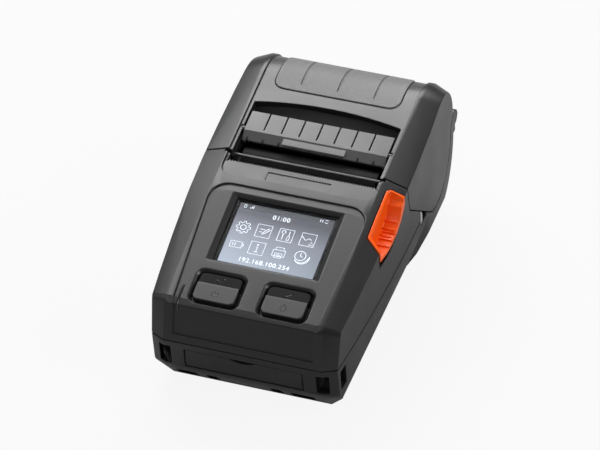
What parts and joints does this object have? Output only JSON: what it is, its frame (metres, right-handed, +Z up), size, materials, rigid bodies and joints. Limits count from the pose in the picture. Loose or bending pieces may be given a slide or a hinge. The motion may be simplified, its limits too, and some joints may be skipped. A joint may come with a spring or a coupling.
{
  "type": "portable label printer",
  "caption": "Hand-held direct thermal label printer: sloped panel with display and paired keys, orange release lever, serrated slot, clamshell lid over a drop-in roll bay and a battery below.",
  "frame": {"origin": "centre of the bounding box, on the plane of the rubber feet", "axes": "+Z up, +Y from the front flap to the lid's hinge, +X towards the release lever"},
  "size_m": [0.0881, 0.156, 0.066],
  "materials": {
    "case_black": "fine grained",
    "deck_grey": "satin",
    "pad_grey": "stippled",
    "key_dark": "satin",
    "key_grey": "satin",
    "lever_orange": "satin",
    "window": "clear",
    "display": "smooth",
    "gasket": "matt",
    "guide_clear": "translucent",
    "steel": "bright",
    "plate": "zinc plated",
    "heatsink": "extruded",
    "head_glaze": "glazed",
    "rubber": "matt",
    "gear_white": "smooth",
    "brass": "turned",
    "board": "lacquered",
    "inner_black": "smooth",
    "catch_grey": "smooth"
  },
  "bodies": {
    "case": {"lower_case": "case_black", "upper_case": "case_black", "tear_bar": "deck_grey", "screen_lens": "window", "screen_gasket": "gasket", "lcd_module": "display", "key_mat": "rubber", "key_board": "board", "light_guide": "guide_clear", "latch_spring": "steel", "print_chassis": "plate", "gap_sensor": "inner_black", "gear_plate": "plate", "motor": "plate", "roll_bay": "inner_black", "main_board": "board", "radio_module": "plate", "buzzer": "inner_black", "port_board": "board", "usb_socket": "steel", "power_socket": "inner_black", "battery_contacts": "brass", "battery_spring": "steel", "case_screws": "plate", "clip_inserts": "brass", "feet": "rubber", "side_catch": "catch_grey", "hinge_pin": "steel", "lid_springs": "steel", "head_springs": "steel"},
    "lid": {"lid_cover": "case_black", "lid_pad": "pad_grey", "lid_frame": "inner_black", "lid_screws": "plate", "peel_bar": "steel", "platen_bushes": "gear_white"},
    "flap": {"peeler": "deck_grey"},
    "flap_roller": {"peel_roller": "steel"},
    "platen": {"platen_shaft": "steel", "platen_rubber": "rubber", "platen_gear": "gear_white"},
    "idler": {"idler_gear": "gear_white"},
    "pinion": {"motor_pinion": "brass"},
    "head": {"print_head": "head_glaze", "head_heatsink": "heatsink"},
    "latch": {"release_lever": "lever_orange", "latch_shaft": "steel", "latch_hooks": "plate"},
    "back_key": {"key_back": "key_dark"},
    "power_key": {"key_power": "key_grey"},
    "enter_key": {"key_enter": "key_dark"},
    "feed_key": {"key_feed": "key_grey"},
    "right_guide": {"guide_right": "inner_black"},
    "left_guide": {"guide_left": "inner_black"},
    "guide_gear": {"guide_pinion": "gear_white"},
    "port_flap": {"port_cover": "rubber"},
    "battery": {"battery_pack": "inner_black"},
    "battery_catch": {"battery_latch": "catch_grey"}
  },
  "joints": [
    {"name": "lid_hinge", "type": "hinge", "parent": "case", "child": "lid", "pos_m": [0, 0.07445, 0.036], "axis": [-1, 0, 0], "range_deg": [0, 95]},
    {"name": "lever_pivot", "type": "hinge", "parent": "case", "child": "latch", "pos_m": [0, -0.00105, 0.0519], "axis": [1, 0, 0], "range_deg": [0, 5.5], "stiffness_Nm_per_rad": 0.2, "springref_deg": -11.46},
    {"name": "platen_spin", "type": "hinge", "parent": "lid", "child": "platen", "pos_m": [0, 0.00995, 0.0495], "axis": [1, 0, 0], "continuous": true},
    {"name": "idler_spin", "type": "hinge", "parent": "case", "child": "idler", "pos_m": [-0.0382, 0.00723, 0.03646], "axis": [1, 0, 0], "continuous": true},
    {"name": "motor_spin", "type": "hinge", "parent": "case", "child": "pinion", "pos_m": [-0.0382, -0.00209, 0.03076], "axis": [1, 0, 0], "continuous": true},
    {"name": "flap_pivot", "type": "hinge", "parent": "lid", "child": "flap", "pos_m": [0, 0.01845, 0.0596], "axis": [-1, 0, 0], "range_deg": [0, 30]},
    {"name": "flap_roller_spin", "type": "hinge", "parent": "flap", "child": "flap_roller", "pos_m": [0, 0.01515, 0.0571], "axis": [1, 0, 0], "continuous": true},
    {"name": "head_slide", "type": "slide", "parent": "case", "child": "head", "axis": [0, -1, 0], "range_m": [0, 0.0003], "stiffness_N_per_m": 3000, "springref_m": -0.001},
    {"name": "back_key_press", "type": "slide", "parent": "case", "child": "back_key", "axis": [0, 0.2028, -0.9792], "range_m": [0, 0.0008], "stiffness_N_per_m": 600, "springref_m": -0.0008},
    {"name": "power_key_press", "type": "slide", "parent": "case", "child": "power_key", "axis": [0, 0.2028, -0.9792], "range_m": [0, 0.0008], "stiffness_N_per_m": 600, "springref_m": -0.0008},
    {"name": "enter_key_press", "type": "slide", "parent": "case", "child": "enter_key", "axis": [0, 0.2028, -0.9792], "range_m": [0, 0.0008], "stiffness_N_per_m": 600, "springref_m": -0.0008},
    {"name": "feed_key_press", "type": "slide", "parent": "case", "child": "feed_key", "axis": [0, 0.2028, -0.9792], "range_m": [0, 0.0008], "stiffness_N_per_m": 600, "springref_m": -0.0008},
    {"name": "right_guide_slide", "type": "slide", "parent": "case", "child": "right_guide", "axis": [-1, 0, 0], "range_m": [0, 0.014]},
    {"name": "left_guide_slide", "type": "slide", "parent": "case", "child": "left_guide", "axis": [1, 0, 0], "range_m": [0, 0.014]},
    {"name": "guide_gear_spin", "type": "hinge", "parent": "case", "child": "guide_gear", "pos_m": [0, 0.04095, 0.0058], "axis": [0, 0, 1], "range_deg": [0, 202]},
    {"name": "port_flap_hinge", "type": "hinge", "parent": "case", "child": "port_flap", "pos_m": [0, -0.07655, 0.0144], "axis": [1, 0, 0], "range_deg": [0, 95]},
    {"name": "battery_slide", "type": "slide", "parent": "case", "child": "battery", "axis": [0, 0, -1], "range_m": [0, 0.022]},
    {"name": "battery_catch_slide", "type": "slide", "parent": "case", "child": "battery_catch", "axis": [0, 1, 0], "range_m": [0, 0.0014], "stiffness_N_per_m": 300, "springref_m": -0.001}
  ],
  "couplings": [
    {"joint": "idler_spin", "follows": "platen_spin", "ratio": -0.83333},
    {"joint": "motor_spin", "follows": "platen_spin", "ratio": 1.6667},
    {"joint": "left_guide_slide", "follows": "right_guide_slide", "ratio": 1},
    {"joint": "guide_gear_spin", "follows": "right_guide_slide", "rad_per_m": 250}
  ]
}
